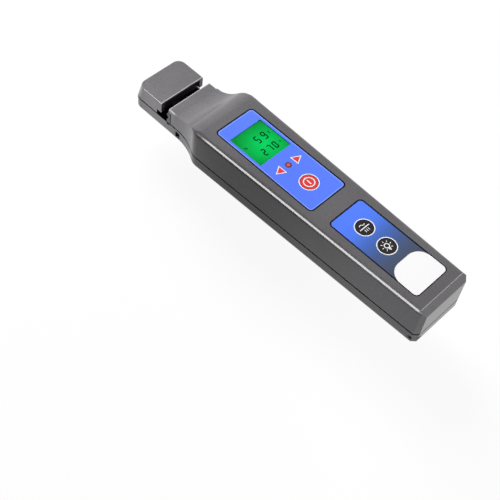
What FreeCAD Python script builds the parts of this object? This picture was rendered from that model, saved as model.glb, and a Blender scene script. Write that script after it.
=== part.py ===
import FreeCAD, Part
import os
from math import atan2, hypot, sqrt
import Sketcher

# Optical fibre identifier: a hand-held housing with a fibre slot across its head, a display and keys on its
# front, a sliding trigger and a battery door on its back.
# X runs from the tip of the head to the tail, Y across, Z up out of the front. The origin is under the
# middle, level with the lowest point of the trigger. Millimetres.

sizes = {
    # housing
    "length": 198.2,
    "nose": 3.0,                # the tip's foot, in front of its top
    "layout_tail": 195.2,       # tail for which the places on the face are given; they move with it
    "thickness": 27.0,
    "parting": 8.5,             # joint line of the two shells, above the back
    "trigger_drop": 19.0,       # trigger, below the back
    "wall": 2.2,
    "face_wall": 2.2,
    "back_wall": 2.0,
    "head_width": 29.4,
    "body_width": 40.4,
    "tail_width": 33.2,
    "neck_start": 29.5,
    "neck_end": 50.0,
    "neck_corner": 8.0,
    "tail_corner": 2.2,
    "tip_corner": 4.6,
    "head_drop": 8.5,           # head, below the face
    "ramp_start": 29.0,
    "ramp_end": 51.0,
    "ramp_crest": 14.0,
    "face_edge": 2.6,
    "tail_bevel": 3.4,
    "bevel_drop": 3.0,
    "back_edge": 3.2,
    "tip_edge": 0.8,
    "tip_roof": 1.2,
    "hood_edge": 0.8,
    "seam": 0.3,                # groove where the casing's pieces meet
    # fibre slot and what works in it
    "tip_block": 18.2,
    "slot_tail": 23.6,
    "undercut_start": 14.8,
    "undercut_rise": 3.2,
    "adapter_front": 22.4,
    "adapter_back": 24.8,
    "adapter_rise": 7.4,
    "adapter_slope": 1.4,       # slanted front edge at the top
    "adapter_play": 0.6,        # behind the adapter, in the front shell
    "adapter_notch": 1.8,       # under its ends, to pry it out
    "adapter_groove": 1.6,
    "sensor_back": 32.9,
    "sensor_width": 19.0,
    "diode_radius": 2.5,
    "diode_length": 3.0,
    "diode_pitch": 9.0,
    "jaw_back": 9.5,
    "jaw_front": 14.6,
    "jaw_width": 23.6,
    "jaw_play": 0.7,            # between the jaw and the cover's sides
    "jaw_rise": 15.4,
    "jaw_stem": 8.0,
    "deck": 1.5,
    "pad_depth": 1.5,
    "pad_rise": 6.0,
    "peg_place": 5.5,
    "peg_pitch": 18.0,
    "peg_radius": 1.2,
    "peg_length": 3.0,
    "peg_boss": 2.5,
    # slide and trigger
    "bar_width": 10.0,
    "bar_depth": 1.5,
    "bar_end": 92.0,
    "lug_rise": 9.0,
    "lug_width": 8.0,
    "lug_depth": 1.5,
    "spring_radius": 2.3,
    "wire_radius": 0.3,
    "spring_turns": 12.0,
    "slot_start": 57.4,
    "slot_end": 88.1,
    "slot_width": 5.0,
    "stem_start": 60.0,
    "stem_end": 76.0,
    "trigger_toe": 58.5,
    "trigger_heel": 78.0,
    "trigger_width": 7.6,
    "trigger_base": 2.8,
    "base_width": 8.2,
    "trigger_tip": 64.5,
    "trigger_bulge": 75.0,
    "bulge_drop": 13.5,
    "trigger_hollow": 15.4,
    "trigger_nose": 1.2,
    "trigger_back": 24.0,
    "guide_depth": 1.4,
    "guide_rise": 2.2,
    # display and keys
    "recess": 0.6,
    "film": 0.5,
    "panel_start": 55.3,
    "panel_end": 121.3,
    "panel_width": 26.0,
    "pad_start": 130.9,
    "pad_end": 186.2,
    "pad_width": 23.5,
    "film_corner": 2.6,
    "window_start": 63.8,
    "window_end": 85.3,
    "window_width": 21.3,
    "lcd_margin": 3.2,
    "frame_rise": 2.2,
    "glass_rise": 2.2,
    "power_place": 107.9,
    "mode_place": 144.0,
    "light_place": 158.2,
    "key_radius": 4.55,
    "key_play": 0.12,           # between a key and its film
    "key_flange": 1.2,
    "flange_depth": 0.8,
    "key_travel": 0.4,
    "key_round": 0.3,
    "switch_size": 6.0,
    "led_place": 93.8,
    "led_pitch": 12.0,
    "led_radius": 1.5,
    "led_rise": 3.2,
    # board
    "board_start": 56.0,
    "board_end": 171.0,
    "board_width": 25.0,
    "board_depth": 1.2,
    "board_level": 20.6,        # underside, above the back
    "stud_radius": 2.0,
    "stud_first": 92.0,
    "stud_last": 166.0,
    "stud_pitch": 20.0,
    "small_screw": 0.8,
    "small_head": 1.5,
    "small_cap": 0.6,
    "small_reach": 2.2,
    # housing screws
    "neck_screws": 43.5,
    "neck_pitch": 26.2,
    "mid_lead": 4.5,            # in front of the battery bay's rib
    "mid_pitch": 26.0,
    "tail_screws": 9.2,        # from the tail
    "tail_pitch": 23.6,
    "boss_radius": 3.2,
    "screw_radius": 1.1,
    "screw_head": 2.3,
    "head_depth": 1.4,
    "head_sink": 0.3,
    "screw_reach": 13.0,
    "cross_length": 2.6,
    "cross_width": 0.6,
    "cross_depth": 0.9,
    # battery and its door
    "door_lead": 5.5,           # opening, in front of the battery and behind it
    "door_tail": 3.0,
    "door_width": 28.0,
    "door_corner": 0.6,
    "hook_reach": 2.2,
    "hook_width": 4.0,
    "hook_pitch": 16.0,
    "hook_depth": 1.2,
    "latch_width": 6.4,
    "latch_lead": 2.5,
    "latch_depth": 2.9,
    "latch_rise": 5.9,
    "latch_wall": 0.9,
    "nib_reach": 1.4,
    "thumb_width": 14.8,
    "thumb_reach": 8.8,
    "cell_back": 16.7,          # battery, from the tail
    "cell_length": 46.5,
    "cell_width": 26.5,
    "cell_depth": 17.5,
    "cell_corner": 2.0,
    "cell_terminal": 3.0,
    "terminal_rise": 2.3,
    "terminal_pitch": 12.7,
    "rib_lead": 10.5,           # rib, in front of the battery
    "rib_depth": 1.6,
    "rib_rise": 18.0,
    "snap_level": 6.0,
    "snap_rise": 11.0,
    "snap_width": 25.0,
    "stop_rise": 12.0,
    "stop_width": 18.0,
    # openings at the edges
    "port_start": 29.2,
    "port_length": 3.3,
    "port_level": 2.9,
    "port_rise": 4.0,
    "port_depth": 4.0,
    "eye_radius": 1.2,
    "eye_place": 3.3,
    "eye_level": 4.9,
    # sticker
    "label_start": 6.0,
    "label_end": 39.5,
    "label_width": 17.0,
    "label_depth": 0.15,
    # fits
    "gap": 0.3,                 # between pieces that slide or lift
    "fit": 0.05,                # between pieces that stay together
}

doc = FreeCAD.newDocument("FibreIdentifier")
sheet = doc.addObject("Spreadsheet::Sheet", "Sizes")
for row, (alias, number) in enumerate(sizes.items(), start=1):
    sheet.set(f"A{row}", str(number))
    sheet.setAlias(f"A{row}", alias)
doc.recompute()


class Size:
    """A number together with the sheet expression that gives it."""

    def __init__(self, value, text):
        self.value = value
        self.text = text

    def __add__(self, other):
        other = as_size(other)
        return Size(self.value + other.value, f"({self.text} + {other.text})")

    def __sub__(self, other):
        other = as_size(other)
        return Size(self.value - other.value, f"({self.text} - {other.text})")

    def __mul__(self, other):
        other = as_size(other)
        return Size(self.value * other.value, f"({self.text} * {other.text})")

    def __truediv__(self, other):
        other = as_size(other)
        return Size(self.value / other.value, f"({self.text} / {other.text})")

    def __radd__(self, other):
        return as_size(other) + self

    def __rsub__(self, other):
        return as_size(other) - self

    def __neg__(self):
        return Size(-self.value, f"(0 - {self.text})")

    def root(self):
        return Size(sqrt(self.value), f"sqrt({self.text})")


def as_size(number):
    return number if isinstance(number, Size) else Size(float(number), str(float(number)))


class Sheet:
    """Every named size of the sheet, as an attribute."""

    def __init__(self):
        for alias in sizes:
            setattr(self, alias, Size(float(sheet.get(alias)), f"Sizes.{alias}"))


s = Sheet()
tail = s.length - s.nose         # distance of the tail from the top of the tip
half_head = s.head_width / 2
half_body = s.body_width / 2
half_tail = s.tail_width / 2
back = s.trigger_drop
face = back + s.thickness
joint = back + s.parting
head_top = face - s.head_drop
ceiling = face - s.face_wall
floor = back + s.back_wall
board_top = back + s.board_level + s.board_depth


def along(distance):
    """X of a place that is given by its distance from the top of the tip."""
    return distance + s.nose - s.length / 2


def on_face(distance):
    """X of a place on the face, given by its distance from the tip at the layout tail."""
    share = (distance - s.ramp_end) / (s.layout_tail - s.ramp_end)
    return along(s.ramp_end + (tail - s.ramp_end) * share)


# the battery bay keeps its distance from the tail
cell_end = tail - s.cell_back
cell_start = cell_end - s.cell_length
door_start = cell_start - s.door_lead
door_end = cell_end + s.door_tail
rib_start = cell_start - s.rib_lead


def bind(item, prop, size):
    item.setExpression(prop, as_size(size).text)


# Sketches and features

def new_body(name):
    body = doc.addObject("PartDesign::Body", name)
    body.Label = name
    return body


def new_sketch(body, plane, level):
    sketch = body.newObject("Sketcher::SketchObject", f"{body.Name}_sketch")
    support = next(o for o in body.Origin.OriginFeatures if o.Role == plane)
    sketch.AttachmentSupport = [(support, "")]
    sketch.MapMode = "FlatFace"
    bind(sketch, "AttachmentOffset.Base.z", level)
    return sketch


def arc_through(start, end, radius, turn):
    """Arc from start to end; turn is 1 to the left and -1 to the right."""
    (ax, ay), (bx, by) = start, end
    chord = hypot(bx - ax, by - ay)
    rise = sqrt(radius ** 2 - chord ** 2 / 4)
    cx = (ax + bx) / 2 - turn * (by - ay) / chord * rise
    cy = (ay + by) / 2 + turn * (bx - ax) / chord * rise
    first, last = (start, end) if turn > 0 else (end, start)
    angles = [atan2(y - cy, x - cx) for x, y in (first, last)]
    circle = Part.Circle(FreeCAD.Vector(cx, cy, 0), FreeCAD.Vector(0, 0, 1), radius)
    return Part.ArcOfCircle(circle, *angles)


def draw(sketch, corners):
    """Closed outline. A corner is (x, y), or (x, y, radius, turn) where an arc leads on from it."""
    count = len(corners)
    starts = []
    ends = []
    for index, corner in enumerate(corners):
        following = corners[(index + 1) % count]
        here = (corner[0].value, corner[1].value)
        there = (following[0].value, following[1].value)
        if len(corner) == 4:
            radius, turn = corner[2:]
            edge = sketch.addGeometry(arc_through(here, there, radius.value, turn), False)
            sketch.addConstraint(Sketcher.Constraint("Radius", edge, radius.value))
            bind(sketch, f"Constraints[{sketch.ConstraintCount - 1}]", radius)
            starts.append((edge, 1 if turn > 0 else 2))
            ends.append((edge, 2 if turn > 0 else 1))
        else:
            line = Part.LineSegment(FreeCAD.Vector(*here, 0), FreeCAD.Vector(*there, 0))
            edge = sketch.addGeometry(line, False)
            starts.append((edge, 1))
            ends.append((edge, 2))
    for index, corner in enumerate(corners):
        sketch.addConstraint(Sketcher.Constraint("Coincident", *ends[index - 1], *starts[index]))
        for kind, size in zip(("DistanceX", "DistanceY"), corner[:2]):
            sketch.addConstraint(Sketcher.Constraint(kind, -1, 1, *starts[index], size.value))
            bind(sketch, f"Constraints[{sketch.ConstraintCount - 1}]", size)


def draw_circle(sketch, x, y, radius):
    centre = FreeCAD.Vector(x.value, y.value, 0)
    edge = sketch.addGeometry(Part.Circle(centre, FreeCAD.Vector(0, 0, 1), radius.value), False)
    middle = (-1, 1, edge, 3)
    constraints = [("Radius", (edge,), radius), ("DistanceX", middle, x), ("DistanceY", middle, y)]
    for kind, places, size in constraints:
        sketch.addConstraint(Sketcher.Constraint(kind, *places, size.value))
        bind(sketch, f"Constraints[{sketch.ConstraintCount - 1}]", size)


def rectangle(left, right, low, high):
    return [(left, low), (right, low), (right, high), (left, high)]


def rounded(left, right, low, high, radius):
    return [(left + radius, low), (right - radius, low, radius, 1), (right, low + radius),
            (right, high - radius, radius, 1), (right - radius, high), (left + radius, high, radius, 1),
            (left, high - radius), (left, low + radius, radius, 1)]


def extrude(body, kind, plane, level, outlines, length, reverse=False, both=False, circles=()):
    sketch = new_sketch(body, plane, level)
    for outline in outlines:
        draw(sketch, outline)
    for x, y, radius in circles:
        draw_circle(sketch, as_size(x), as_size(y), as_size(radius))
    feature = body.newObject(f"PartDesign::{kind}", f"{body.Name}_{kind.lower()}")
    feature.Profile = sketch
    bind(feature, "Length", length)
    feature.Reversed = reverse
    if both:
        feature.SideType = "Symmetric"
    sketch.Visibility = False
    doc.recompute()
    return feature


def pad(body, level, outlines=(), length=1, plane="XY_Plane", reverse=False, both=False, circles=()):
    return extrude(body, "Pad", plane, level, outlines, length, reverse, both, circles)


def pocket(body, level, outlines=(), length=1, plane="XY_Plane", up=False, both=False, circles=()):
    """Pocket that goes down from its sketch, or up; it has to take material away."""
    before = body.Shape.Volume
    feature = extrude(body, "Pocket", plane, level, outlines, length, up, both, circles)
    if body.Shape.Volume > before - 1e-6:
        raise RuntimeError(f"a pocket of {body.Label} cuts nothing")
    return feature


def soften(body, radius, chosen, kind="Fillet"):
    """Fillet or chamfer on the edges of the body's last feature that the test picks."""
    base = body.Tip
    names = [f"Edge{i}" for i, edge in enumerate(base.Shape.Edges, start=1) if chosen(edge.BoundBox)]
    feature = body.newObject(f"PartDesign::{kind}", f"{body.Name}_{kind.lower()}")
    feature.Base = (base, names)
    bind(feature, "Radius" if kind == "Fillet" else "Size", radius)
    doc.recompute()
    return feature


def at_level(level):
    """Test for edges that lie in one level plane."""
    return lambda box: box.ZLength < 0.01 and abs(box.ZMin - level.value) < 0.01


# Primitives

def box(name, left, right, low, high, bottom, top):
    item = doc.addObject("Part::Box", name)
    for prop, first, last in (("Length", left, right), ("Width", low, high), ("Height", bottom, top)):
        bind(item, prop, as_size(last) - first)
    for axis, size in zip("xyz", (left, low, bottom)):
        bind(item, f"Placement.Base.{axis}", size)
    return item


def cylinder(name, x, y, bottom, top, radius):
    item = doc.addObject("Part::Cylinder", name)
    bind(item, "Radius", radius)
    bind(item, "Height", as_size(top) - bottom)
    for axis, size in zip("xyz", (x, y, bottom)):
        bind(item, f"Placement.Base.{axis}", size)
    return item


def cylinder_along(name, left, right, y, z, radius):
    """Cylinder that lies along X."""
    item = cylinder(name, left, y, 0, 1, radius)
    item.Placement.Rotation = FreeCAD.Rotation(FreeCAD.Vector(0, 1, 0), 90)
    bind(item, "Height", as_size(right) - left)
    bind(item, "Placement.Base.z", z)
    return item


def fuse(name, pieces):
    item = doc.addObject("Part::MultiFuse", name)
    item.Shapes = pieces
    return item


def cut(name, base, tool):
    item = doc.addObject("Part::Cut", name)
    item.Base = base
    item.Tool = tool
    return item


def group(name, pieces):
    item = doc.addObject("Part::Compound", name)
    item.Links = pieces
    return item


nodes = {}


def keep(name, item):
    item.Label = name
    nodes[name] = item


# Plan of the housing

neck_run = s.neck_end - s.neck_start
neck_spread = half_body - half_head
neck_radii = (neck_run * neck_run + neck_spread * neck_spread) / (neck_spread * 2)
neck_hollow = neck_radii - s.neck_corner
neck_bend = s.neck_start + neck_run * neck_hollow / neck_radii
neck_bend_half = half_head + neck_spread * neck_hollow / neck_radii
# point where the neck's outer arc runs smoothly into the tapering side
taper_run = tail - s.tail_corner - s.neck_end
taper_rise = half_tail - half_body + s.neck_corner
taper_square = taper_run * taper_run + taper_rise * taper_rise
taper_root = (taper_square - s.neck_corner * s.neck_corner).root()
taper_along = (s.neck_corner * taper_run - taper_root * taper_rise) / taper_square
taper_across = (s.neck_corner * taper_rise + taper_root * taper_run) / taper_square
neck_foot = s.neck_end + s.neck_corner * taper_along
neck_foot_half = half_body - s.neck_corner + s.neck_corner * taper_across


def side_out(first):
    """Left side from the head to the tail, with the two arcs of the neck."""
    return [(along(first), -half_head), (along(s.neck_start), -half_head, neck_hollow, -1),
            (along(neck_bend), -neck_bend_half, s.neck_corner, 1), (along(neck_foot), -neck_foot_half),
            (along(tail - s.tail_corner), -half_tail), (along(tail), s.tail_corner - half_tail)]


def side_home(first):
    """Right side from the tail to the head."""
    return [(along(tail), half_tail - s.tail_corner), (along(tail - s.tail_corner), half_tail),
            (along(neck_foot), neck_foot_half, s.neck_corner, 1),
            (along(neck_bend), neck_bend_half, neck_hollow, -1), (along(s.neck_start), half_head),
            (along(first), half_head)]


def tip_end(first):
    """Round corners and end of the tip, which starts at that distance."""
    turn = along(first + s.tip_corner)
    return [(turn, half_head, s.tip_corner, 1), (along(first), half_head - s.tip_corner),
            (along(first), s.tip_corner - half_head, s.tip_corner, 1)]


body_room = [(along(s.ramp_end), s.wall - half_body), (along(tail - s.wall - s.gap), s.wall - half_tail),
             (along(tail - s.wall - s.gap), half_tail - s.wall), (along(s.ramp_end), half_body - s.wall)]
neck_room_end = along(s.ramp_end + s.wall)

neck_screws = (along(s.neck_screws), s.neck_pitch)
mid_screws = (along(rib_start - s.mid_lead), s.mid_pitch)
tail_screws = (along(tail - s.tail_screws), s.tail_pitch)
board_studs = [(on_face(s.stud_first), s.stud_pitch), (on_face(s.stud_last), s.stud_pitch)]
key_places = {"power_key": on_face(s.power_place), "mode_key": on_face(s.mode_place),
              "light_key": on_face(s.light_place)}
led_places = [(on_face(s.led_place), s.led_pitch / 2 * side) for side in (-1, 0, 1)]
half_window = s.window_width / 2
window_start = on_face(s.window_start)
window_end = on_face(s.window_end)


def both_sides(places):
    return [(x, pitch / 2 * side) for x, pitch in places for side in (-1, 1)]


# Front shell

def make_front_shell():
    body = new_body("front_shell")
    outline = side_out(s.slot_tail) + side_home(s.slot_tail)
    pad(body, joint, [outline], s.thickness - s.parting)
    soften(body, s.seam, at_level(joint), "Chamfer")
    soften(body, s.face_edge, lambda box: at_level(face)(box) and box.XMax > along(s.slot_tail).value + 1
           and box.XMin < along(tail - s.tail_corner).value - 1)
    end = along(tail)
    bevel = [(end - s.tail_bevel, face), (end, face - s.bevel_drop), (end + s.wall, face - s.bevel_drop),
             (end + s.wall, face + s.wall), (end - s.tail_bevel, face + s.wall)]
    pocket(body, as_size(0), [bevel], s.body_width * 2, "XZ_Plane", both=True)
    ramp_run = s.ramp_end - s.ramp_start
    ramp_radii = (ramp_run * ramp_run + s.head_drop * s.head_drop) / (s.head_drop * 2)
    ramp_hollow = ramp_radii - s.ramp_crest
    share = ramp_hollow / ramp_radii
    before_head = along(s.tip_block)
    ramp = [(before_head, head_top), (along(s.ramp_start), head_top, ramp_hollow, 1),
            (along(s.ramp_start + ramp_run * share), head_top + s.head_drop * share, s.ramp_crest, -1),
            (along(s.ramp_end), face), (along(s.ramp_end), face + s.wall), (before_head, face + s.wall)]
    pocket(body, as_size(0), [ramp], s.body_width * 2, "XZ_Plane", both=True)
    hood_sides = []
    for side in (-1, 1):
        inner, edge, outer = [(half_head + s.hood_edge * step) * side for step in (-1, 0, 1)]
        hood_sides.append([(inner, head_top), (edge, head_top - s.hood_edge), (outer, head_top - s.hood_edge),
                           (outer, head_top + s.hood_edge), (inner, head_top + s.hood_edge)])
    pocket(body, along(s.ramp_start), hood_sides, s.ramp_start - s.tip_block, "YZ_Plane")
    # room inside
    pocket(body, joint, [body_room], s.thickness - s.parting - s.face_wall, up=True)
    neck_room = rectangle(along(s.adapter_back), neck_room_end, s.wall - half_head, half_head - s.wall)
    neck_height = s.thickness - s.head_drop - s.parting - s.wall
    pocket(body, joint, [neck_room], neck_height, up=True)
    seat = rectangle(before_head, along(s.adapter_back + s.adapter_play), -s.head_width, s.head_width)
    pocket(body, joint, [seat], s.adapter_rise + s.gap, up=True)
    # bosses for the housing screws, studs for the board, stop for the battery
    neck, rest = both_sides([neck_screws]), both_sides([mid_screws, tail_screws])
    pad(body, joint, length=neck_height, circles=[(x, y, s.boss_radius) for x, y in neck])
    pad(body, joint, length=s.thickness - s.parting - s.face_wall,
        circles=[(x, y, s.boss_radius) for x, y in rest])
    pocket(body, joint, length=s.screw_reach - s.parting + s.gap, up=True,
           circles=[(x, y, s.screw_radius + s.fit) for x, y in neck + rest])
    studs = both_sides(board_studs)
    pad(body, board_top, length=ceiling - board_top, circles=[(x, y, s.stud_radius) for x, y in studs])
    pocket(body, board_top, length=s.small_reach, up=True,
           circles=[(x, y, s.small_screw + s.fit) for x, y in studs])
    stop_start = along(cell_end + s.gap)
    stop = rectangle(stop_start, stop_start + s.rib_depth, -s.stop_width / 2, s.stop_width / 2)
    pad(body, ceiling - s.stop_rise, [stop], s.stop_rise)
    # recesses, window and holes in the face
    panel = rounded(on_face(s.panel_start) - s.fit, on_face(s.panel_end) + s.fit, -s.panel_width / 2 - s.fit,
                    s.panel_width / 2 + s.fit, s.film_corner)
    keypad = rounded(on_face(s.pad_start) - s.fit, on_face(s.pad_end) + s.fit, -s.pad_width / 2 - s.fit,
                     s.pad_width / 2 + s.fit, s.film_corner)
    pocket(body, face, [panel, keypad], s.recess)
    window = rectangle(window_start - s.gap, window_end + s.gap, -half_window - s.gap, half_window + s.gap)
    pocket(body, face, [window], s.face_wall + s.gap)
    keys = [(x, 0, s.key_radius + s.gap) for x in key_places.values()]
    leds = [(x, y, s.led_radius + s.gap) for x, y in led_places]
    pocket(body, face, length=s.face_wall + s.gap, circles=keys + leds)
    keep("front_shell", body)


# Back shell

def make_back_shell():
    body = new_body("back_shell")
    foot = s.tip_corner - s.nose
    pad(body, back, [side_out(foot) + side_home(foot)[:-1] + tip_end(-s.nose)], s.parting)
    soften(body, s.seam, at_level(joint), "Chamfer")
    soften(body, s.back_edge, at_level(back))
    depth = s.parting - s.back_wall
    neck_room = rectangle(along(s.wall), neck_room_end, s.wall - half_head, half_head - s.wall)
    pocket(body, joint, [body_room], depth)
    pocket(body, joint, [neck_room], depth)
    # seat of the adapter and the sensors, with a way through for the slide bar
    bar_way = s.bar_width / 2 + s.gap
    seat_back = along(s.sensor_back)
    for low, high in ((s.wall - half_head, -bar_way), (bar_way, half_head - s.wall)):
        pad(body, floor, [rectangle(along(s.adapter_front), seat_back, low, high)], depth)
    notch_depth = half_head - s.wall - s.gap
    ends = ((-s.head_width, -notch_depth), (notch_depth, s.head_width))
    notches = [rectangle(along(s.adapter_front + s.gap), along(s.adapter_back - s.gap), *end) for end in ends]
    pocket(body, joint, notches, s.adapter_notch)
    # deck that the jaw slides over
    jaw_way = s.jaw_stem / 2 + s.gap
    for low, high in ((s.wall - half_head, -jaw_way), (jaw_way, half_head - s.wall)):
        pad(body, joint - s.deck, [rectangle(along(s.wall), along(s.adapter_front), low, high)], s.deck)
    # guides of the slide bar, rib between the spring and the battery bay
    guides = []
    for side in (-1, 1):
        ends = sorted((bar_way * side, (bar_way + s.guide_depth) * side), key=lambda size: size.value)
        guides.append(rectangle(along(s.slot_start), along(s.bar_end), *ends))
    pad(body, floor, guides, s.guide_rise)
    rib = rectangle(along(rib_start), along(rib_start + s.rib_depth), -s.snap_width / 2, s.snap_width / 2)
    pad(body, floor, [rib], s.rib_rise - s.back_wall)
    # bosses with sunk holes for the housing screws, sockets for the tip cover
    screws = both_sides([neck_screws, mid_screws, tail_screws])
    pad(body, floor, length=depth, circles=[(x, y, s.boss_radius) for x, y in screws])
    pocket(body, back, length=s.head_sink + s.head_depth, up=True,
           circles=[(x, y, s.screw_head + s.gap) for x, y in screws])
    pocket(body, back, length=s.parting, up=True, circles=[(x, y, s.screw_radius + s.gap) for x, y in screws])
    pegs = both_sides([(along(s.peg_place), s.peg_pitch)])
    pad(body, floor, length=depth, circles=[(x, y, s.peg_boss) for x, y in pegs])
    pocket(body, joint, length=s.peg_length + s.gap, circles=[(x, y, s.peg_radius + s.fit) for x, y in pegs])
    # battery opening with a thumb recess, trigger slot
    door = rounded(along(door_start), along(door_end), -s.door_width / 2, s.door_width / 2, s.door_corner)
    half_thumb = s.thumb_width / 2
    thumb_bow = s.thumb_reach * 0.65
    thumb_round = (half_thumb * half_thumb + thumb_bow * thumb_bow) / (thumb_bow * 2)
    thumb_turn = along(door_end + s.thumb_reach - thumb_bow)
    thumb = [(along(door_end) - s.wall, -half_thumb), (thumb_turn, -half_thumb, thumb_round, 1),
             (thumb_turn, half_thumb), (along(door_end) - s.wall, half_thumb)]
    pocket(body, back, [door], s.back_wall + s.gap, up=True)
    pocket(body, back, [thumb], s.back_wall + s.gap, up=True)
    slot = rounded(along(s.slot_start), along(s.slot_end), -s.slot_width / 2, s.slot_width / 2, s.door_corner)
    pocket(body, back, [slot], s.back_wall + s.gap, up=True)
    # side ports at the neck, cord eye at the tail corner
    port_low = back + s.port_level
    port = rounded(along(s.port_start), along(s.port_start + s.port_length), port_low, port_low + s.port_rise,
                   s.door_corner)
    pocket(body, half_head + s.gap, [port], s.port_depth, "XZ_Plane")
    pocket(body, -half_head - s.gap, [port], s.port_depth, "XZ_Plane", up=True)
    eye_height = back + s.eye_level
    pocket(body, half_tail - s.wall - s.gap, length=s.wall * 2, plane="XZ_Plane", up=True,
           circles=[(along(tail - s.eye_place), eye_height, s.eye_radius)])
    pocket(body, along(tail) + s.gap, length=s.wall * 2, plane="YZ_Plane",
           circles=[(s.eye_place - half_tail, eye_height, s.eye_radius)])
    keep("back_shell", body)


# Cover of the tip, in front of the fibre slot

def make_tip_cover():
    body = new_body("tip_cover")
    rise = s.thickness - s.head_drop - s.parting
    foot = along(-s.nose)
    pad(body, joint, [rectangle(foot, along(s.tip_block), -half_head, half_head)], rise)
    slope = [(foot, joint), (along(as_size(0)), head_top), (along(as_size(0)), head_top + s.wall),
             (foot - s.wall, head_top + s.wall), (foot - s.wall, joint)]
    pocket(body, as_size(0), [slope], s.body_width * 2, "XZ_Plane", both=True)
    soften(body, s.tip_corner, lambda box: box.XMin < foot.value + 0.01 and box.YLength < 0.01
           and box.ZLength > rise.value - 0.01)
    soften(body, s.seam, at_level(joint), "Chamfer")
    soften(body, s.tip_edge, lambda box: at_level(head_top)(box) and box.XMin < along(s.tip_block).value - 1)
    half_room = s.jaw_width / 2 + s.jaw_play
    room = rectangle(along(s.wall), along(s.slot_tail), -half_room, half_room)
    pocket(body, joint, [room], rise - s.tip_roof, up=True)
    undercut = rectangle(along(s.undercut_start), along(s.slot_tail), -s.head_width, s.head_width)
    pocket(body, joint, [undercut], s.undercut_rise, up=True)
    pegs = both_sides([(along(s.peg_place), s.peg_pitch)])
    pad(body, joint, length=rise - s.tip_roof, circles=[(x, y, s.peg_boss) for x, y in pegs])
    pad(body, joint, length=s.peg_length, reverse=True, circles=[(x, y, s.peg_radius) for x, y in pegs])
    keep("tip_cover", body)


# Fibre head

def make_fibre_head():
    adapter = new_body("fibre_adapter")
    front, rear = along(s.adapter_front), along(s.adapter_back)
    top = joint + s.adapter_rise
    middle = joint + s.adapter_rise / 2
    profile = [(front, joint), (rear, joint), (rear, top), (front + s.adapter_slope, top),
               (front, top - s.adapter_slope),
               (front, middle + s.adapter_groove, s.adapter_groove * 1.1, -1),
               (front, middle - s.adapter_groove)]
    pad(adapter, as_size(0), [profile], s.head_width - s.fit * 2, "XZ_Plane", both=True)
    keep("fibre_adapter", adapter)

    half_sensor = s.sensor_width / 2
    block = box("sensor_solid", rear, along(s.sensor_back), -half_sensor, half_sensor, joint, top)
    holes = []
    diodes = []
    for side in (-1, 1):
        y = s.diode_pitch / 2 * side
        end = rear + s.diode_length
        holes.append(cylinder_along(f"diode_hole_{side + 1}", rear, end, y, middle, s.diode_radius + s.fit))
        diodes.append(cylinder_along(f"diode_{side + 1}", rear, end, y, middle, s.diode_radius))
    keep("sensor_block", cut("sensor_block", block, fuse("diode_holes", holes)))
    keep("photodiodes", group("photodiodes", diodes))

    jaw = new_body("jaw")
    bar_top = floor + s.gap + s.bar_depth
    jaw_top = back + s.jaw_rise
    nose = along(s.jaw_front)
    shoulder = jaw_top - s.pad_depth
    sole = joint + s.gap
    profile = [(along(s.jaw_back), sole), (nose, sole), (nose, jaw_top),
               (along(s.jaw_back) + s.pad_depth, jaw_top), (along(s.jaw_back), shoulder)]
    pad(jaw, as_size(0), [profile], s.jaw_width, "XZ_Plane", both=True)
    stem = rectangle(along(s.jaw_back), nose, -s.jaw_stem / 2, s.jaw_stem / 2)
    pad(jaw, bar_top, [stem], sole - bar_top)
    keep("jaw", jaw)

    strip = new_body("jaw_pad")
    low = middle - s.pad_rise / 2
    high = middle + s.pad_rise / 2
    crown = s.pad_depth / 2
    profile = [(nose, low), (nose + crown, low), (nose + s.pad_depth, low + crown),
               (nose + s.pad_depth, high - crown), (nose + crown, high), (nose, high)]
    pad(strip, as_size(0), [profile], s.jaw_width, "XZ_Plane", both=True)
    keep("jaw_pad", strip)


# Slide bar, trigger and return spring

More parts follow.
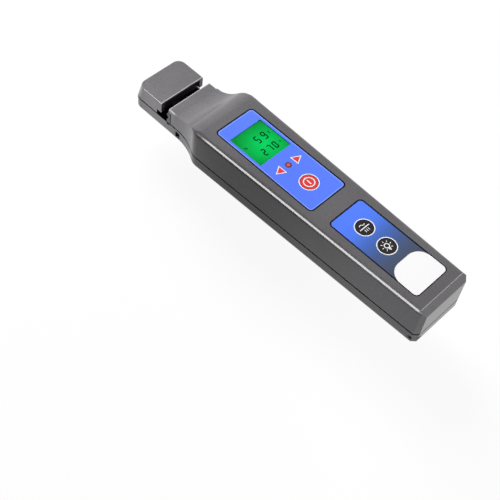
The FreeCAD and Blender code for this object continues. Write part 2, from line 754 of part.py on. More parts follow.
def make_trigger_drive():
    bar = new_body("slide_bar")
    low = floor + s.gap
    high = low + s.bar_depth
    end = along(s.bar_end)
    strip = rectangle(along(s.jaw_back), end, -s.bar_width / 2, s.bar_width / 2)
    pad(bar, low, [strip], s.bar_depth)
    lug = rectangle(end - s.lug_depth, end, -s.lug_width / 2, s.lug_width / 2)
    pad(bar, low, [lug], s.lug_rise - s.back_wall - s.gap)
    screws = [(along(s.stem_start + (s.stem_end - s.stem_start) * share), 0) for share in (0.25, 0.75)]
    pocket(bar, high, length=s.bar_depth, circles=[(x, y, s.small_screw + s.fit) for x, y in screws])
    keep("slide_bar", bar)

    trigger = new_body("trigger")
    top = back - s.gap
    base_low = back - s.trigger_base
    toe, heel = along(s.trigger_toe), along(s.trigger_heel)
    base = [(toe, top - s.gap * 3), (toe + s.gap * 2, base_low), (heel, base_low), (heel, top), (toe, top)]
    pad(trigger, as_size(0), [base], s.base_width, "XZ_Plane", both=True)
    tip = along(s.trigger_tip)
    bulge = along(s.trigger_bulge)
    bulge_height = s.trigger_drop - s.bulge_drop
    crown_run = bulge - tip - s.trigger_nose
    crown = (crown_run * crown_run + bulge_height * bulge_height) / (bulge_height * 2)
    fin = [(toe, top - s.gap * 2, s.trigger_hollow, -1), (tip, s.trigger_nose, s.trigger_nose, 1),
           (tip + s.trigger_nose, as_size(0), crown, 1), (bulge, bulge_height, s.trigger_back, 1),
           (heel, base_low), (heel, top), (toe, top)]
    pad(trigger, as_size(0), [fin], s.trigger_width, "XZ_Plane", both=True)
    half_stem = s.slot_width / 2 - s.gap
    stem = rectangle(along(s.stem_start), along(s.stem_end), -half_stem, half_stem)
    pad(trigger, top, [stem], low - top)
    pocket(trigger, low, length=s.trigger_base + s.back_wall,
           circles=[(x, y, s.small_screw + s.fit) for x, y in screws])
    keep("trigger", trigger)

    shanks = []
    for index, (x, y) in enumerate(screws):
        head = cylinder(f"trigger_screw_head_{index}", x, y, high, high + s.small_cap, s.small_head)
        shank = cylinder(f"trigger_screw_shank_{index}", x, y, back - s.gap, high, s.small_screw)
        shanks.append(fuse(f"trigger_screw_{index}", [head, shank]))
    keep("trigger_screws", group("trigger_screws", shanks))

    # the spring reaches from the bar's lug to the rib of the battery bay
    reach = (rib_start - s.bar_end - s.wire_radius * 2).value
    coil = Part.makeHelix(reach / s.spring_turns.value, reach, s.spring_radius.value - s.wire_radius.value)
    start = FreeCAD.Vector(s.spring_radius.value - s.wire_radius.value, 0, 0)
    ring = Part.Wire(Part.Circle(start, FreeCAD.Vector(0, 1, 0), s.wire_radius.value).toShape())
    spring = doc.addObject("Part::Feature", "return_spring")
    spring.Shape = Part.Wire(coil).makePipeShell([ring], True, True)
    spring_height = floor + s.gap + s.bar_depth + s.spring_radius + s.gap
    spring.Placement = FreeCAD.Placement(
        FreeCAD.Vector((end + s.wire_radius).value, 0, spring_height.value),
        FreeCAD.Rotation(FreeCAD.Vector(0, 1, 0), 90))
    keep("return_spring", spring)


# Display, keys and board

def make_front_pieces():
    seat = face - s.recess
    window = (window_start, window_end, -half_window, half_window)
    overlay = new_body("display_overlay")
    half = s.panel_width / 2
    panel = rounded(on_face(s.panel_start), on_face(s.panel_end), -half, half, s.film_corner)
    pad(overlay, seat, [panel], s.film)
    pocket(overlay, face, [rectangle(*window)], s.recess)
    pocket(overlay, face, length=s.recess, circles=[(key_places["power_key"], 0, s.key_radius + s.key_play)])
    keep("display_overlay", overlay)

    lens = new_body("display_window")
    left, right, low, high = window
    pad(lens, seat, [rectangle(left + s.fit, right - s.fit, low + s.fit, high - s.fit)], s.film)
    keep("display_window", lens)

    overlay = new_body("keypad_overlay")
    half = s.pad_width / 2
    panel = rounded(on_face(s.pad_start), on_face(s.pad_end), -half, half, s.film_corner)
    pad(overlay, seat, [panel], s.film)
    pocket(overlay, face, length=s.recess,
           circles=[(key_places[name], 0, s.key_radius + s.key_play) for name in ("mode_key", "light_key")])
    keep("keypad_overlay", overlay)

    flange_top = ceiling - s.gap / 2
    flange_low = flange_top - s.flange_depth
    switches = []
    half_switch = s.switch_size / 2
    for name, x in key_places.items():
        key = new_body(name)
        pad(key, flange_low, length=s.flange_depth, circles=[(x, 0, s.key_radius + s.key_flange)])
        cap_top = seat + s.film
        pad(key, flange_top, length=cap_top - flange_top, circles=[(x, 0, s.key_radius)])
        soften(key, s.key_round, at_level(cap_top))
        keep(name, key)
        switches.append(box(f"{name}_switch", x - half_switch, x + half_switch, -half_switch, half_switch,
                            board_top, flange_low - s.key_travel - s.fit))
    keep("key_switches", group("key_switches", switches))

    left, right, low, high = window
    margin = s.lcd_margin
    keep("lcd_frame", box("lcd_frame", left - margin, right + margin, low - margin / 2, high + margin / 2,
                          board_top, board_top + s.frame_rise))
    keep("lcd_panel", box("lcd_panel", left, right, low, high, board_top + s.frame_rise,
                          board_top + s.frame_rise + s.glass_rise))
    leds = [cylinder(f"led_{index}", x, y, board_top, board_top + s.led_rise, s.led_radius)
            for index, (x, y) in enumerate(led_places)]
    keep("indicator_leds", group("indicator_leds", leds))

    board = new_body("main_board")
    board_low = back + s.board_level
    half = s.board_width / 2
    plate = rectangle(on_face(s.board_start), on_face(s.board_end), -half, half)
    pad(board, board_low, [plate], s.board_depth)
    notches = [(x, y, s.boss_radius + s.gap) for x, y in both_sides([mid_screws])]
    studs = both_sides(board_studs)
    pocket(board, board_top, length=s.board_depth,
           circles=notches + [(x, y, s.small_screw + s.fit) for x, y in studs])
    keep("main_board", board)

    screws = []
    for index, (x, y) in enumerate(studs):
        head = cylinder(f"board_screw_head_{index}", x, y, board_low - s.small_cap, board_low, s.small_head)
        shank = cylinder(f"board_screw_shank_{index}", x, y, board_low, board_top + s.small_reach - s.gap,
                         s.small_screw)
        screws.append(fuse(f"board_screw_{index}", [head, shank]))
    keep("board_screws", group("board_screws", screws))


# Battery, its connector and its door

def make_power():
    cell = new_body("battery")
    start = along(cell_start)
    low = floor + s.gap
    half = s.cell_width / 2
    section = rounded(-half, half, low, low + s.cell_depth, s.cell_corner)
    pad(cell, start, [section], s.cell_length, "YZ_Plane")
    middle = low + s.cell_depth / 2
    half_pitch = s.terminal_pitch / 2
    pad(cell, start, length=s.terminal_rise, plane="YZ_Plane", reverse=True,
        circles=[(-half_pitch, middle, s.cell_terminal), (half_pitch, middle, s.cell_terminal)])
    keep("battery", cell)

    snap_low = back + s.snap_level
    rib_end = along(rib_start + s.rib_depth)
    snap = new_body("battery_connector")
    section = rounded(-s.snap_width / 2, s.snap_width / 2, snap_low, snap_low + s.snap_rise, s.cell_corner)
    pad(snap, rib_end, [section], start - s.gap - rib_end, "YZ_Plane")
    pocket(snap, start - s.gap, length=s.terminal_rise, plane="YZ_Plane",
           circles=[(y, middle, s.cell_terminal + s.gap) for y in (-half_pitch, half_pitch)])
    keep("battery_connector", snap)

    door = new_body("battery_door")
    first, last = along(door_start), along(door_end)
    half = s.door_width / 2 - s.gap
    pad(door, back, [rounded(first + s.gap, last - s.gap, -half, half, s.door_corner)], s.back_wall)
    hook_low = floor + s.gap
    hook_top = hook_low + s.hook_depth
    hook_root = first + s.gap * 2
    hook = [(hook_root, back + s.back_wall / 2), (hook_root + s.hook_width, back + s.back_wall / 2),
            (hook_root + s.hook_width, hook_top), (first - s.hook_reach, hook_top),
            (first - s.hook_reach, hook_low), (hook_root, hook_low)]
    for side in (-1, 1):
        pad(door, s.hook_pitch / 2 * side, [hook], s.hook_width, "XZ_Plane", both=True)
    # spring tongue: up behind the plate's edge, over, and down again to the thumb tab
    tab_start = last + s.latch_lead
    tab_end = tab_start + s.latch_depth
    crest = back + s.latch_rise
    leg = last - s.gap
    tongue = [(leg - s.latch_wall * 2, back + s.back_wall / 2), (leg, back + s.back_wall / 2),
              (leg, crest - s.latch_wall), (tab_start, crest - s.latch_wall), (tab_start, back + s.gap),
              (tab_end, back + s.gap), (tab_end, crest), (leg - s.latch_wall, crest),
              (leg - s.latch_wall, floor), (leg - s.latch_wall * 2, floor)]
    pad(door, as_size(0), [tongue], s.latch_width, "XZ_Plane", both=True)
    nib = rectangle(tab_start + s.latch_wall, tab_end - s.latch_wall, back + s.latch_wall, floor)
    pad(door, as_size(0), [nib], s.latch_width + s.nib_reach * 2, "XZ_Plane", both=True)
    keep("battery_door", door)


# Housing screws and the sticker

def make_trim():
    screws = []
    for index, (x, y) in enumerate(both_sides([neck_screws, mid_screws, tail_screws])):
        head_low = back + s.head_sink
        head = cylinder(f"screw_head_{index}", x, y, head_low, head_low + s.head_depth, s.screw_head)
        shank = cylinder(f"screw_shank_{index}", x, y, head_low + s.head_depth, back + s.screw_reach,
                         s.screw_radius)
        half_long, half_wide = s.cross_length / 2, s.cross_width / 2
        cross_top = head_low + s.cross_depth
        spans = [(half_long, half_wide), (half_wide, half_long)]
        bars = [box(f"screw_bar_{index}_{number}", x - wide, x + wide, y - deep, y + deep,
                    head_low, cross_top) for number, (wide, deep) in enumerate(spans)]
        solid = fuse(f"screw_solid_{index}", [head, shank])
        screws.append(cut(f"screw_{index}", solid, fuse(f"screw_cross_{index}", bars)))
    keep("housing_screws", group("housing_screws", screws))
    keep("back_label", box("back_label", along(s.label_start), along(s.label_end), -s.label_width / 2,
                           s.label_width / 2, back - s.label_depth, back))


make_front_shell()
make_back_shell()
make_tip_cover()
make_fibre_head()
make_trigger_drive()
make_front_pieces()
make_power()
make_trim()
doc.recompute()

for item in doc.Objects:
    if "Invalid" in item.State or "Error" in item.State:
        raise RuntimeError(f"{item.Label} failed: {item.State}")
os.makedirs("parts", exist_ok=True)
for name, item in nodes.items():
    if item.Shape.isNull() or not item.Shape.isValid():
        raise RuntimeError(f"{name} has no valid shape")
for name, item in nodes.items():
    item.Shape.exportStep(f"parts/{name}.step")
    box_now = item.Shape.BoundBox
    print(f"{name}: {len(item.Shape.Solids)} solids, {item.Shape.Volume:.1f} mm3,",
          f"x {box_now.XMin:.2f} to {box_now.XMax:.2f}, y {box_now.YMin:.2f} to {box_now.YMax:.2f},",
          f"z {box_now.ZMin:.2f} to {box_now.ZMax:.2f}")
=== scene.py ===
import math
import bmesh
import bpy
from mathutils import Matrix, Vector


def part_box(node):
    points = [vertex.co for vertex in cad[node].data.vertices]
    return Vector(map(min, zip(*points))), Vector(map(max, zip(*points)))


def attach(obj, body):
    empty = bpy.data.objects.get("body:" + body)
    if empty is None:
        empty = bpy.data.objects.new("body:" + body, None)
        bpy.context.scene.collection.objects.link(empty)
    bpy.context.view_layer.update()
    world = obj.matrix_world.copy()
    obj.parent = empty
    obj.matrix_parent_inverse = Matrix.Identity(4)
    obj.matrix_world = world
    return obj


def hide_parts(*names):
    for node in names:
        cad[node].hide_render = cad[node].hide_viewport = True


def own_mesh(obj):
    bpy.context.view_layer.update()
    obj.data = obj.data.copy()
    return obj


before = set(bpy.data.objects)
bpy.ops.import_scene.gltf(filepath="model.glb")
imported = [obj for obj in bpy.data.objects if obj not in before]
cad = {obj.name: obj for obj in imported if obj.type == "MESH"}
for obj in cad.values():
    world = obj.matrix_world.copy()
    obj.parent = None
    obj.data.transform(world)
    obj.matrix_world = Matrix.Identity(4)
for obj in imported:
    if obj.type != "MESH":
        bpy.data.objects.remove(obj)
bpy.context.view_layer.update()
mm = 0.001
print("frame loaded:", len(cad), "nodes")


def ink(red, green, blue):
    # screen colour 0-255 to the linear colour that a socket takes
    def linear(level):
        share = level / 255
        return share / 12.92 if share <= 0.04045 else ((share + 0.055) / 1.055) ** 2.4
    return (linear(red), linear(green), linear(blue), 1.0)


# shader kit

class Wire:
    def __init__(self, paint, socket):
        self.paint = paint
        self.socket = socket

    def math(self, operation, first, second):
        return self.paint.node("ShaderNodeMath", {"operation": operation}, {0: first, 1: second})

    def __add__(self, other):
        return self.math("ADD", self, other)

    def __radd__(self, other):
        return self.math("ADD", other, self)

    def __sub__(self, other):
        return self.math("SUBTRACT", self, other)

    def __rsub__(self, other):
        return self.math("SUBTRACT", other, self)

    def __mul__(self, other):
        return self.math("MULTIPLY", self, other)

    def __rmul__(self, other):
        return self.math("MULTIPLY", other, self)

    def __truediv__(self, other):
        return self.math("DIVIDE", self, other)

    def __rtruediv__(self, other):
        return self.math("DIVIDE", other, self)

    def __abs__(self):
        return self.math("ABSOLUTE", self, 0.0)

    def above(self, level):
        return self.math("GREATER_THAN", self, level)

    def most(self, other):
        return self.math("MAXIMUM", self, other)

    def least(self, other):
        return self.math("MINIMUM", self, other)

    def root(self):
        return self.math("SQRT", self, 0.0)


class Paint:
    def __init__(self, name, world=None):
        self.owner = world or bpy.data.materials.new(name)
        self.owner.use_nodes = True
        self.tree = self.owner.node_tree

    def node(self, kind, settings=None, sockets=None, out=0):
        item = self.tree.nodes.new(kind)
        for key, value in (settings or {}).items():
            if key == "stops":
                self.setStops(item.color_ramp, value)
            else:
                setattr(item, key, value)
        for key, value in (sockets or {}).items():
            self.feed(item.inputs[key], value)
        return Wire(self, item.outputs[out])

    def setStops(self, ramp, stops):
        for element, (position, colour) in zip(ramp.elements, (stops[0], stops[-1])):
            element.position = position
            element.color = colour
        for position, colour in stops[1:-1]:
            ramp.elements.new(position).color = colour

    def feed(self, socket, value):
        if isinstance(value, Wire):
            self.tree.links.new(value.socket, socket)
        else:
            socket.default_value = value

    def place(self):
        return self.node("ShaderNodeTexCoord", {}, {}, "Object")

    def axes(self, names):
        split = self.node("ShaderNodeSeparateXYZ", {}, {"Vector": self.place()})
        outputs = split.socket.node.outputs
        return [Wire(self, outputs[name]) for name in names]

    def noise(self, scale, detail=2.0, stretch=(1, 1, 1)):
        spot = self.node("ShaderNodeMapping", {}, {"Vector": self.place(), "Scale": stretch})
        return self.node("ShaderNodeTexNoise", {}, {
            "Vector": spot, "Scale": scale, "Detail": detail}, "Fac")

    def mix(self, share, first, second):
        return self.node("ShaderNodeMix", {"data_type": "RGBA", "clamp_factor": True},
                         {0: share, 6: first, 7: second}, 2)

    def bump(self, height, strength, distance):
        return self.node("ShaderNodeBump", {}, {
            "Strength": strength, "Distance": distance, "Height": height})

    def finish(self, **sockets):
        shader = self.tree.nodes["Principled BSDF"]
        for name, value in sockets.items():
            self.feed(shader.inputs[name.replace("_", " ")], value)
        return self.owner


def shade(colour, factor):
    return tuple(min(level * factor, 1.0) for level in colour[:3]) + (1.0,)


# plastics

casingLook = {
    "dark": ink(74, 72, 75), "light": ink(112, 110, 113), "grainScale": 2300.0, "cloudScale": 28.0,
    "grainShare": 1.4, "cloudShare": 0.6, "roughness": 0.15, "grainRough": 0.06, "shine": 0.29,
    "bump": 0.04, "relief": 0.00002,
    # groove where the shells meet: painted shade with dust, a near-black band at the joint's height
    "seam": 0.44 * mm, "seamShadeInk": ink(3, 3, 4), "seamRough": 0.6,
    # edges rubbed shiny by the hand: rounding of each, then shares of it between which the rub lies
    "faceRound": 2.6 * mm, "headRound": 0.8 * mm, "rubTop": 0.16, "rubFoot": 0.55, "rubFade": 0.07,
    # the rub on the face starts this far before the display film and grows over this run
    "rubLead": 3 * mm, "rubRun": 5 * mm, "headEnd": 27 * mm, "coatIor": 1.8, "coatRough": 0.12,
    # painted highlights: paler lines on the sharp edges across the head and the tail
    "edgeHighlight": ink(164, 162, 166), "highlightWide": 0.42 * mm, "bevelShare": 0.4, "bevelRun": 3.4 * mm,
}


def rubbed(depth, rounding):
    # share of rub at a depth below the flat that the rounded edge starts from
    fade = casingLook["rubFade"] * rounding
    return ((depth - casingLook["rubTop"] * rounding) / fade).least(
        (casingLook["rubFoot"] * rounding - depth) / fade)


def nearLine(place, level, wide):
    return 1 - abs(place - level).above(wide)


def casingPaint():
    look = casingLook
    paint = Paint("casingPlastic")
    grain = paint.noise(look["grainScale"], 3.0)
    cloud = paint.noise(look["cloudScale"], 3.0)
    tone = 0.5 + (grain - 0.5) * look["grainShare"] + (cloud - 0.5) * look["cloudShare"]
    colour = paint.mix(tone, look["dark"], look["light"])
    x, z = paint.axes("XZ")
    shellLow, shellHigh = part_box("front_shell")
    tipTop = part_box("tip_cover")[1]
    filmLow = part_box("display_overlay")[0].x
    # painted shade with dust: within the seam width of the joint's height the casing turns near-black,
    # metallic and rough
    clear = abs(z - shellLow.z).above(look["seam"])
    bevelLine = shellHigh.x - look["bevelRun"]
    faceRub = rubbed(shellHigh.z - z, look["faceRound"])
    faceRub = faceRub.least((x - filmLow + look["rubLead"]) / look["rubRun"]).least((bevelLine - x) / mm)
    headRub = rubbed(tipTop.z - z, look["headRound"]).least((filmLow - look["headEnd"] - x) / mm)
    # painted highlights along the sharp top edges of the tip, the hood front and the tail bevel
    wide = look["highlightWide"]
    tipHighlight = nearLine(x, tipTop.x, wide) * nearLine(z, tipTop.z, wide)
    hoodHighlight = nearLine(x, shellLow.x, wide) * nearLine(z, tipTop.z, wide)
    bevelHighlight = nearLine(x, bevelLine, wide * look["bevelShare"]) * nearLine(z, shellHigh.z, wide)
    colour = paint.mix(tipHighlight.most(hoodHighlight).most(bevelHighlight), colour, look["edgeHighlight"])
    rough = look["roughness"] + grain * look["grainRough"] + (1 - clear) * look["seamRough"]
    return paint.finish(Base_Color=paint.mix(clear, look["seamShadeInk"], colour), Roughness=rough,
                        Normal=paint.bump(grain, look["bump"], look["relief"]),
                        Metallic=1 - clear, Specular_IOR_Level=look["shine"],
                        Coat_Weight=faceRub.most(headRub).most(0.0).least(1.0),
                        Coat_IOR=look["coatIor"], Coat_Roughness=look["coatRough"])


mouldedLook = {"dark": 0.8, "light": 1.2, "swing": 0.1, "bump": 0.2, "relief": 0.00005}


def mouldedPaint(name, colour, roughness, scale=900.0, shine=0.35):
    look = mouldedLook
    paint = Paint(name)
    grain = paint.noise(scale, 3.0)
    tone = paint.mix(grain, shade(colour, look["dark"]), shade(colour, look["light"]))
    return paint.finish(Base_Color=tone,
                        Roughness=roughness - look["swing"] / 2 + grain * look["swing"],
                        Normal=paint.bump(grain, look["bump"], look["relief"]), Specular_IOR_Level=shine)


printLook = {"scale": 1500.0, "dark": 0.93, "swing": 0.08}


def printPaint(name, colour, roughness=0.35, shine=0.3):
    # screen-printed ink: nearly even, with a slight mottle
    paint = Paint(name)
    mottle = paint.noise(printLook["scale"], 2.0)
    return paint.finish(Base_Color=paint.mix(mottle, shade(colour, printLook["dark"]), colour),
                        Roughness=roughness + mottle * printLook["swing"], Specular_IOR_Level=shine)


# printed films, with a dark line of painted shade from their recess step and a paler rim along their edges

filmLook = {
    # line and ink: width and colour of the dark edge line, painted shade of the recess round the film
    "line": 0.74 * mm, "rim": 1.3 * mm, "corner": 2.6 * mm, "ink": ink(6, 6, 14),
    "scale": 1400.0, "roughness": 0.3, "swing": 0.06, "bump": 0.05, "relief": 0.00002, "shine": 0.12,
    "blue": ink(92, 126, 250), "rimBlue": ink(124, 156, 255),
    "fade": [(0.11, ink(86, 126, 252)), (0.24, ink(80, 122, 230)), (0.38, ink(71, 104, 182)),
             (0.5, ink(70, 91, 140)), (0.62, ink(72, 83, 108)), (0.72, ink(71, 77, 95))],
}


def filmPaint(name, node, fades):
    look = filmLook
    low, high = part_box(node)
    paint = Paint(name)
    x, y = paint.axes("XY")
    corner = look["corner"]
    inLong = abs(x - (low.x + high.x) / 2) - (high.x - low.x) / 2
    inWide = abs(y - (low.y + high.y) / 2) - (high.y - low.y) / 2
    beyondLong = (inLong + corner).most(0.0)
    beyondWide = (inWide + corner).most(0.0)
    rounding = (beyondLong * beyondLong + beyondWide * beyondWide).root() - corner
    edge = inLong.most(inWide).most(rounding)     # below zero inside the film's outline
    mottle = paint.noise(look["scale"], 2.0)
    if fades:
        share = (x - low.x) / (high.x - low.x)
        base = paint.node("ShaderNodeValToRGB", {"stops": look["fade"]}, {"Fac": share})
    else:
        base = paint.mix(edge.above(-look["rim"]), look["blue"], look["rimBlue"])
    # painted shade: the dark line along the film's outline
    return paint.finish(Base_Color=paint.mix(edge.above(-look["line"]), base, look["ink"]),
                        Roughness=look["roughness"] + mottle * look["swing"],
                        Normal=paint.bump(mottle, look["bump"], look["relief"]),
                        Specular_IOR_Level=look["shine"])


# display: lit from behind, brightest a little off its middle

lcdLook = {
    "bright": ink(0, 222, 102), "dim": ink(4, 144, 49), "off": ink(2, 24, 10), "strength": 1.0,
    "reach": 15 * mm, "midLong": 0.58, "midWide": 0.55, "cloudScale": 160.0, "cloudShare": 0.25,
    "roughness": 0.3, "shine": 0.04,
}


def lcdPaint():
    look = lcdLook
    low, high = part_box("lcd_panel")
    paint = Paint("litDisplay")
    x, y = paint.axes("XY")
    offLong = x - (low.x + (high.x - low.x) * look["midLong"])
    offWide = y - (low.y + (high.y - low.y) * look["midWide"])
    away = (offLong * offLong + offWide * offWide).root() / look["reach"]
    cloud = paint.noise(look["cloudScale"], 2.0)
    glow = paint.mix(away + (cloud - 0.5) * look["cloudShare"], look["bright"], look["dim"])
    return paint.finish(Base_Color=look["off"], Emission_Color=glow, Emission_Strength=look["strength"],
                        Roughness=look["roughness"], Specular_IOR_Level=look["shine"])


windowLook = {
    "tint": ink(20, 60, 34), "alpha": 0.03, "scale": 90.0, "roughness": 0.06, "swing": 0.06, "shine": 0.05,
}


def windowPaint():
    look = windowLook
    paint = Paint("displayWindow")
    smear = paint.noise(look["scale"], 2.0)
    return paint.finish(Base_Color=look["tint"], Roughness=look["roughness"] + smear * look["swing"],
                        Alpha=look["alpha"], Specular_IOR_Level=look["shine"])


def clearPaint(name, dark, light, scale, roughness, swing):
    # coloured plastic or glass, with a faint swirl
    paint = Paint(name)
    swirl = paint.noise(scale, 2.0)
    return paint.finish(Base_Color=paint.mix(swirl, dark, light), Roughness=roughness + swirl * swing)


# metals

brushedLook = {"scale": 700.0, "dark": 0.85, "swing": 0.16, "bump": 0.12, "relief": 0.00003}


def brushedPaint(name, colour, roughness, stretch):
    look = brushedLook
    paint = Paint(name)
    brush = paint.noise(look["scale"], 4.0, stretch)
    return paint.finish(Base_Color=paint.mix(brush, shade(colour, look["dark"]), colour), Metallic=1.0,
                        Roughness=roughness - look["swing"] / 2 + brush * look["swing"],
                        Normal=paint.bump(brush, look["bump"], look["relief"]))


# board, battery and sticker

boardLook = {
    "dark": ink(18, 96, 52), "light": ink(24, 108, 60), "track": ink(62, 148, 84), "trackScale": 160.0,
    "trackWide": 0.035, "offset": 0.4, "cloudScale": 200.0, "roughness": 0.32, "swing": 0.08, "bump": 0.05,
    "relief": 0.00002,
}


def boardPaint():
    look = boardLook
    paint = Paint("circuitBoard")
    tracks = paint.node("ShaderNodeTexBrick", {"offset": look["offset"]}, {
        "Vector": paint.place(), "Scale": look["trackScale"], "Mortar Size": look["trackWide"],
        "Color1": (0, 0, 0, 1), "Color2": (0, 0, 0, 1), "Mortar": (1, 1, 1, 1)})
    cloud = paint.noise(look["cloudScale"], 2.0)
    colour = paint.mix(tracks, paint.mix(cloud, look["dark"], look["light"]), look["track"])
    return paint.finish(Base_Color=colour, Roughness=look["roughness"] + cloud * look["swing"],
                        Normal=paint.bump(cloud, look["bump"], look["relief"]))


cellLook = {
    "dark": ink(30, 31, 36), "light": ink(44, 45, 50),
    "band": ink(176, 138, 72), "bandFrom": 0.06, "bandTo": 0.3, "bandMetal": 0.6,
    "scale": 420.0, "roughness": 0.3, "swing": 0.15, "bump": 0.06, "relief": 0.00003,
}


def cellPaint():
    # nine-volt block: dark jacket with a bright band near the terminals
    look = cellLook
    low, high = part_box("battery")
    paint = Paint("cellJacket")
    x = paint.axes("X")[0]
    share = (x - low.x) / (high.x - low.x)
    band = share.above(look["bandFrom"]) - share.above(look["bandTo"])
    scuff = paint.noise(look["scale"], 4.0)
    jacket = paint.mix(scuff, look["dark"], look["light"])
    return paint.finish(Base_Color=paint.mix(band, jacket, look["band"]),
                        Roughness=look["roughness"] + scuff * look["swing"],
                        Metallic=band * look["bandMetal"],
                        Normal=paint.bump(scuff, look["bump"], look["relief"]))


paperLook = {
    "dark": ink(222, 222, 219), "light": ink(238, 238, 236), "scale": 900.0, "roughness": 0.6, "swing": 0.1,
    "bump": 0.1, "relief": 0.00003,
}


def paperPaint():
    look = paperLook
    paint = Paint("labelPaper")
    fibre = paint.noise(look["scale"], 5.0)
    return paint.finish(Base_Color=paint.mix(fibre, look["dark"], look["light"]),
                        Roughness=look["roughness"] + fibre * look["swing"],
                        Normal=paint.bump(fibre, look["bump"], look["relief"]))


white = printPaint("whitePrint", ink(247, 247, 247))
redPrint = printPaint("redPrint", ink(226, 62, 66))
darkPrint = printPaint("darkPrint", ink(92, 46, 54))
digitPrint = printPaint("digitPrint", ink(2, 26, 2), 0.5, 0.0)
rulePrint = printPaint("rulePrint", ink(120, 120, 122), 0.5)
casing = casingPaint()
finishes = {
    "front_shell": casing, "back_shell": casing, "tip_cover": casing, "battery_door": casing,
    "display_overlay": filmPaint("displayFilm", "display_overlay", False),
    "keypad_overlay": filmPaint("keypadFilm", "keypad_overlay", True),
    "display_window": windowPaint(),
    "lcd_panel": lcdPaint(),
    "power_key": mouldedPaint("redKey", ink(216, 52, 54), 0.32),
    "mode_key": mouldedPaint("blackKey", ink(36, 34, 35), 0.35, shine=0.15),
    "indicator_leds": clearPaint("lampLens", ink(204, 66, 58), ink(226, 92, 80), 500.0, 0.15, 0.1),
    "lcd_frame": mouldedPaint("darkMoulding", ink(38, 38, 41), 0.5),
    # adapter grey set darker than its own, as painted shade inside the fibre slot
    "fibre_adapter": mouldedPaint("adapterPlasticShaded", ink(68, 68, 71), 0.45),
    "jaw": mouldedPaint("jawPlastic", ink(42, 42, 45), 0.5),
    "jaw_pad": mouldedPaint("jawRubber", ink(24, 24, 24), 0.8),
    "main_board": boardPaint(),
    "photodiodes": clearPaint("diodeGlass", ink(30, 34, 52), ink(46, 50, 72), 300.0, 0.08, 0.08),
    "slide_bar": brushedPaint("brushedSteel", ink(196, 196, 200), 0.32, (0.05, 1, 1)),
    "trigger": brushedPaint("darkSteel", ink(138, 136, 139), 0.3, (1, 0.08, 1)),
    "housing_screws": mouldedPaint("blackSteel", ink(26, 26, 28), 0.35, 1500.0),
    "battery": cellPaint(),
    "back_label": paperPaint(),
}
finishes["light_key"] = finishes["mode_key"]
for name in ("key_switches", "sensor_block", "battery_connector"):
    finishes[name] = finishes["lcd_frame"]
for name in ("return_spring", "trigger_screws", "board_screws"):
    finishes[name] = finishes["slide_bar"]
for name, material in finishes.items():
    cad[name].data.materials.clear()
    cad[name].data.materials.append(material)
print("finishes set:", len(finishes))


# mesh kit: thin plates that stand on a surface

def newPiece(name, mesh, material, body):
    piece = bpy.data.objects.new(name, mesh)
    bpy.context.scene.collection.objects.link(piece)
    mesh.materials.clear()
    mesh.materials.append(material)
    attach(piece, body)
    return piece


def meshFrom(name, build):
    work = bmesh.new()
    build(work)
    bmesh.ops.recalc_face_normals(work, faces=work.faces)
    mesh = bpy.data.meshes.new(name)
    work.to_mesh(mesh)
    work.free()
    return mesh


def addPlate(work, outline, low, high):
    bottom = [work.verts.new((x, y, low)) for x, y in outline]
    top = [work.verts.new((x, y, high)) for x, y in outline]
    work.faces.new(top)
    work.faces.new(bottom[::-1])
    for index in range(len(outline)):
        following = (index + 1) % len(outline)
        work.faces.new((bottom[index], bottom[following], top[following], top[index]))


def addBand(work, outer, inner, low, high):
    # closed band between two outlines with the same number of points
    loops = [[work.verts.new((x, y, level)) for x, y in outline]
             for outline, level in ((outer, low), (outer, high), (inner, high), (inner, low))]
    count = len(outer)
    for first, second in zip(loops, loops[1:] + loops[:1]):
        for index in range(count):
            following = (index + 1) % count
            work.faces.new((first[index], first[following], second[following], second[index]))


def circlePoints(x, y, radius, count=48):
    turns = [2 * math.pi * index / count for index in range(count)]
    return [(x + radius * math.cos(turn), y + radius * math.sin(turn)) for turn in turns]


def roundedPoints(left, right, low, high, radii, count=8):
    # radii of the corners: left low, right low, right high, left high
    corners = [(left, low, 180), (right, low, 270), (right, high, 0), (left, high, 90)]
    points = []
    for (x, y, start), radius in zip(corners, radii):
        inX = x + radius if x == left else x - radius
        inY = y + radius if y == low else y - radius
        for step in range(count + 1):
            turn = math.radians(start + 90 * step / count)
            points.append((inX + radius * math.cos(turn), inY + radius * math.sin(turn)))
    return points


def barPoints(x, y, long, wide, turn=0.0):
    # bar along X, then turned about its middle, with clipped corners
    clip = min(long, wide) * 0.3
    halfLong, halfWide = long / 2, wide / 2
    outline = [(-halfLong + clip, -halfWide), (halfLong - clip, -halfWide), (halfLong, -halfWide + clip),
               (halfLong, halfWide - clip), (halfLong - clip, halfWide), (-halfLong + clip, halfWide),
               (-halfLong, halfWide - clip), (-halfLong, -halfWide + clip)]
    cos, sin = math.cos(turn), math.sin(turn)
    return [(x + px * cos - py * sin, y + px * sin + py * cos) for px, py in outline]


def strokePoints(path, wide):
    # outline of a stroke of even width along an open path
    left, right = [], []
    for index, (x, y) in enumerate(path):
        ax, ay = path[max(index - 1, 0)]
        bx, by = path[min(index + 1, len(path) - 1)]
        length = math.hypot(bx - ax, by - ay)
        offX, offY = -(by - ay) / length * wide / 2, (bx - ax) / length * wide / 2
        left.append((x + offX, y + offY))
        right.append((x - offX, y - offY))
    return right + left[::-1]


def middleOf(node):
    low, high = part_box(node)
    return (low.x + high.x) / 2, (low.y + high.y) / 2, high.z


# geometry nodes: bars round a circle and bars in a row

def newTree(name, inputs):
    tree = bpy.data.node_groups.new(name, "GeometryNodeTree")
    tree.interface.new_socket("Geometry", in_out="OUTPUT", socket_type="NodeSocketGeometry")
    for label, kind in inputs:
        tree.interface.new_socket(label, in_out="INPUT", socket_type=kind)
    return tree


